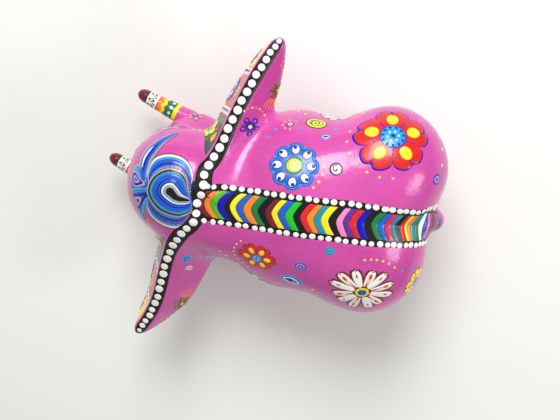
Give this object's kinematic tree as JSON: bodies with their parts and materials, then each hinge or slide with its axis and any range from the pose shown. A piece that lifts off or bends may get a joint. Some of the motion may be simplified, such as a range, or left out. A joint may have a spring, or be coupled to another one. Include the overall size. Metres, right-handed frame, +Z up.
{
  "type": "papier-mache elephant figure",
  "caption": "Hand-painted papier-mache elephant folk-art figure: hollow two-half body, turned head with fan ears, tusks and trunk on four stub legs.",
  "frame": {"origin": "centre of the figure's bounding box, on the plane of the soles", "axes": "+X forward to the tusks, +Y to the animal's left, +Z up"},
  "size_m": [0.2318, 0.2126, 0.117],
  "materials": {
    "pink_lacquered_paper": "gloss",
    "painted_tusk_paper": "gloss",
    "kraft_paper": "matte",
    "grey_card": "matte",
    "black_sole_card": "matte",
    "bamboo_pin": "matte",
    "pine_dowel": "matte"
  },
  "bodies": {
    "root": {"body_shell_left": "pink_lacquered_paper", "body_shell_right": "pink_lacquered_paper", "head_shell": "pink_lacquered_paper", "ear_left": "pink_lacquered_paper", "ear_right": "pink_lacquered_paper", "trunk": "pink_lacquered_paper", "leg_front_left": "pink_lacquered_paper", "leg_front_right": "pink_lacquered_paper", "leg_rear_left": "pink_lacquered_paper", "leg_rear_right": "pink_lacquered_paper", "tail": "pink_lacquered_paper", "tusk_left": "painted_tusk_paper", "tusk_right": "painted_tusk_paper", "seam_strip": "kraft_paper", "neck_collar": "grey_card", "ear_card_left": "grey_card", "ear_card_right": "grey_card", "sole_front_left": "black_sole_card", "sole_front_right": "black_sole_card", "sole_rear_left": "black_sole_card", "sole_rear_right": "black_sole_card", "tusk_pin_left": "bamboo_pin", "tusk_pin_right": "bamboo_pin", "trunk_pin": "bamboo_pin", "tail_pin": "bamboo_pin", "leg_dowel_front_left": "pine_dowel", "leg_dowel_front_right": "pine_dowel", "leg_dowel_rear_left": "pine_dowel", "leg_dowel_rear_right": "pine_dowel"}
  },
  "joints": []
}
